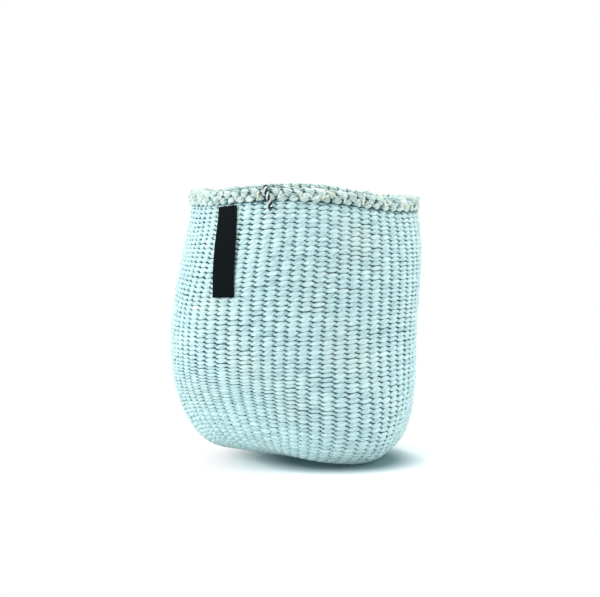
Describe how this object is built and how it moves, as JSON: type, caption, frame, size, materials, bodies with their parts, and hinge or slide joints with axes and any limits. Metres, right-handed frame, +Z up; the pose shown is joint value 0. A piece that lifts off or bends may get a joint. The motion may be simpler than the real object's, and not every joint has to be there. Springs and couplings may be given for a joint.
{
  "type": "kiondo basket",
  "caption": "Small soft storage basket: twined wall and base over upright stakes, with a plaited rim and a cloth label flap.",
  "frame": {"origin": "on the surface that the basket stands on, under the middle of the base", "axes": "+Z up, -Y towards the side with the label, +X to the right seen from that side"},
  "size_m": [0.1718, 0.1522, 0.19],
  "materials": {
    "weft_yarn": "pale aqua two-ply yarn, closely twined, matt",
    "rim_yarn": "pale aqua yarn in flat bundles, plaited, matt",
    "stake_sisal": "cream twisted sisal cord",
    "label_cloth": "black woven ribbon, slight sheen",
    "tie_yarn": "black and white yarn twisted together"
  },
  "bodies": {
    "basket": {"weft_outside": "weft_yarn", "weft_inside": "weft_yarn", "start_lashing_under": "weft_yarn", "start_lashing_inside": "weft_yarn", "rim_strand_1": "rim_yarn", "rim_strand_2": "rim_yarn", "rim_strand_3": "rim_yarn", "warp_stake_01": "stake_sisal", "warp_stake_02": "stake_sisal", "warp_stake_03": "stake_sisal", "warp_stake_04": "stake_sisal", "warp_stake_05": "stake_sisal", "warp_stake_06": "stake_sisal", "warp_stake_07": "stake_sisal", "warp_stake_08": "stake_sisal", "warp_stake_09": "stake_sisal", "warp_stake_10": "stake_sisal", "warp_stake_11": "stake_sisal", "warp_stake_12": "stake_sisal", "warp_stake_13": "stake_sisal", "warp_stake_14": "stake_sisal", "warp_stake_15": "stake_sisal", "warp_stake_16": "stake_sisal", "warp_stake_17": "stake_sisal", "warp_stake_18": "stake_sisal", "warp_stake_19": "stake_sisal", "warp_stake_20": "stake_sisal", "warp_stake_21": "stake_sisal", "warp_stake_22": "stake_sisal", "warp_stake_23": "stake_sisal", "warp_stake_24": "stake_sisal", "warp_stake_25": "stake_sisal", "warp_stake_26": "stake_sisal", "warp_stake_27": "stake_sisal", "warp_stake_28": "stake_sisal", "warp_stake_29": "stake_sisal", "warp_stake_30": "stake_sisal", "warp_stake_31": "stake_sisal", "warp_stake_32": "stake_sisal", "warp_stake_33": "stake_sisal", "tie_cord": "tie_yarn"},
    "label_flap": {"label": "label_cloth"}
  },
  "joints": [
    {"name": "label_hinge", "type": "hinge", "parent": "basket", "child": "label_flap", "pos_m": [-0.04599, -0.05492, 0.17335], "axis": [-0.7618, 0.6411, -0.0932], "range_deg": [0, 120]}
  ]
}
